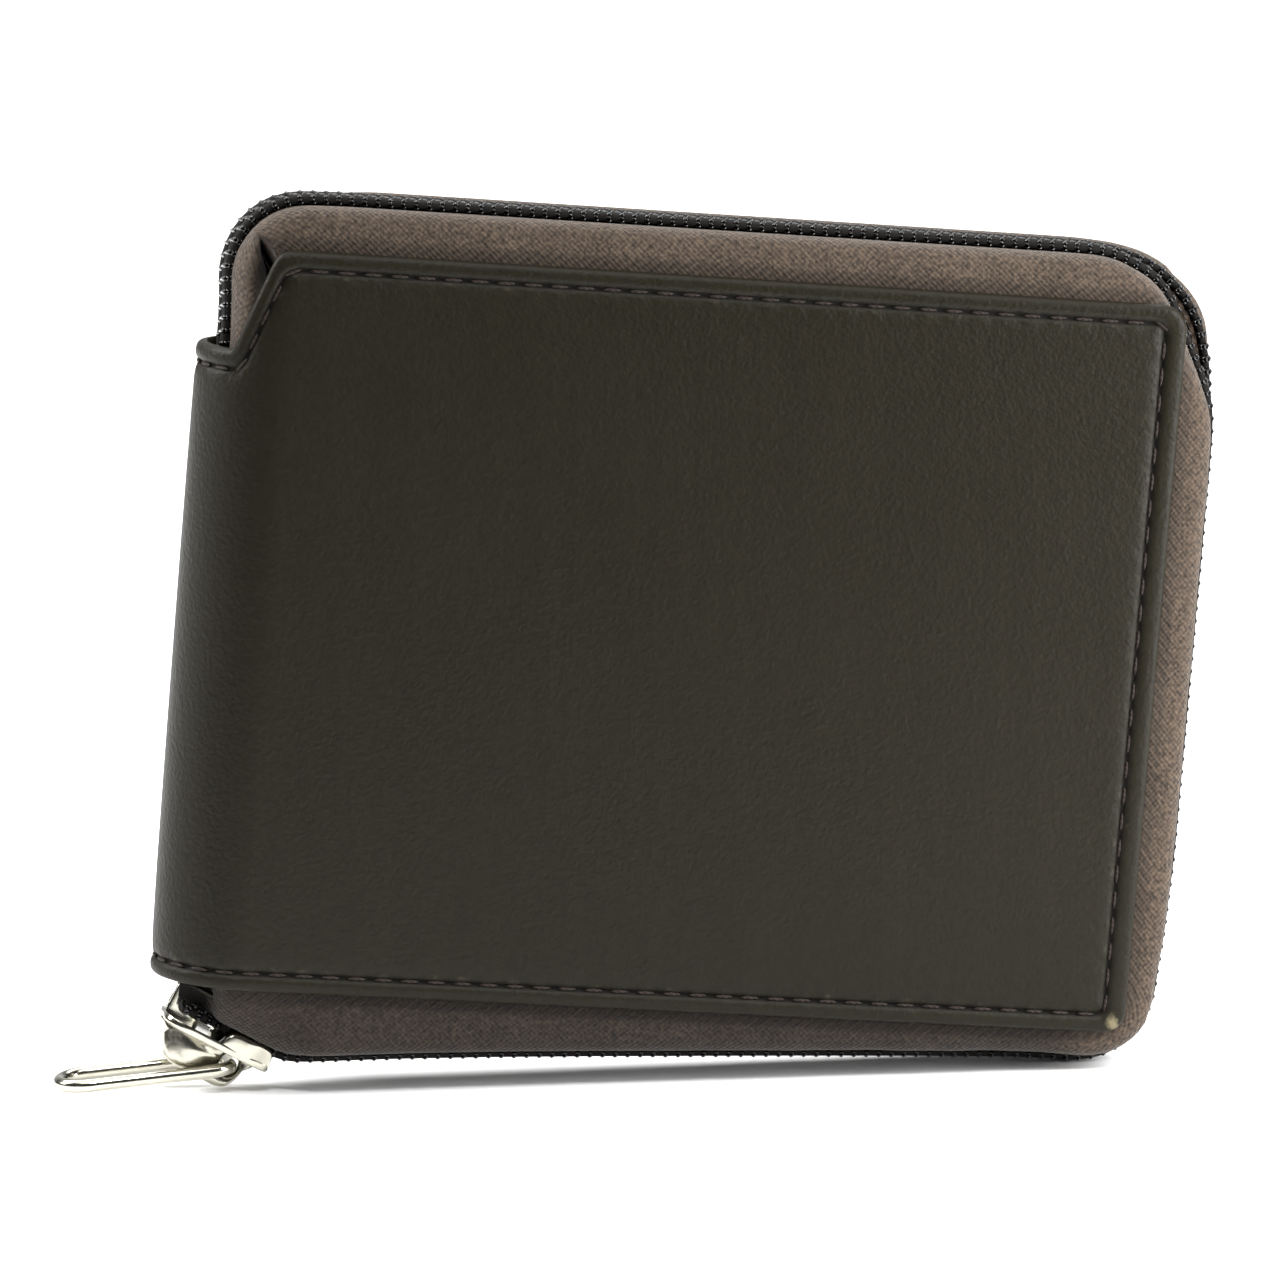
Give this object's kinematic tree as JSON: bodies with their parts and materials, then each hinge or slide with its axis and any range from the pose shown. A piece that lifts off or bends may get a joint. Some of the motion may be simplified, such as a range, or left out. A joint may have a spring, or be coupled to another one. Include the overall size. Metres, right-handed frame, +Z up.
{
  "type": "zip-around bifold wallet",
  "caption": "Zip-around bifold leather wallet with a woven-tape coil zip, metal slider and wire loop pull; it opens flat like a book.",
  "frame": {"origin": "under the middle of the part's bounds, on the floor it stands on", "axes": "+X from the spine towards the covers' free edge, +Y from the front cover to the back cover, +Z up"},
  "size_m": [0.1376, 0.019, 0.1049],
  "materials": {
    "leather": "satin",
    "board": "matte",
    "lining": "matte",
    "tape": "matte",
    "coil": "satin",
    "nickel": "polished"
  },
  "bodies": {
    "back_half": {"back_leather": "leather", "back_board": "board", "back_lining": "lining", "back_note_panel": "leather", "back_card_pocket_1": "leather", "back_card_pocket_2": "leather", "back_card_pocket_3": "leather", "back_tape": "tape", "back_coil": "coil"},
    "spine": {"spine_leather": "leather", "spine_lining": "lining"},
    "front_half": {"front_leather": "leather", "front_board": "board", "front_lining": "lining", "front_note_panel": "leather", "front_card_pocket_1": "leather", "front_card_pocket_2": "leather", "front_card_pocket_3": "leather", "front_tape": "tape", "front_coil": "coil"},
    "slider": {"slider_body": "nickel"},
    "pull": {"pull_ring": "nickel"}
  },
  "joints": [
    {"name": "spine_fold_back", "type": "hinge", "parent": "back_half", "child": "spine", "pos_m": [-0.05506, 0.00745, 0.01404], "axis": [-0.0819, 0, -0.9966], "range_deg": [0, 90]},
    {"name": "spine_fold_front", "type": "hinge", "parent": "spine", "child": "front_half", "pos_m": [-0.05506, -0.00745, 0.01404], "axis": [-0.0819, 0, -0.9966], "range_deg": [0, 90]},
    {"name": "zip_travel", "type": "hinge", "parent": "back_half", "child": "slider", "pos_m": [0.00755, 0, 0.19056], "axis": [0, -1, 0], "range_deg": [0, 26.7], "deforming": ["back_tape", "back_coil", "front_tape", "front_coil"]},
    {"name": "pull_swing", "type": "hinge", "parent": "slider", "child": "pull", "pos_m": [-0.04823, 0, 0.00309], "axis": [0, 1, 0], "range_deg": [-112, 30]}
  ],
  "couplings": [
    {"joint": "spine_fold_front", "follows": "spine_fold_back", "ratio": 1}
  ]
}
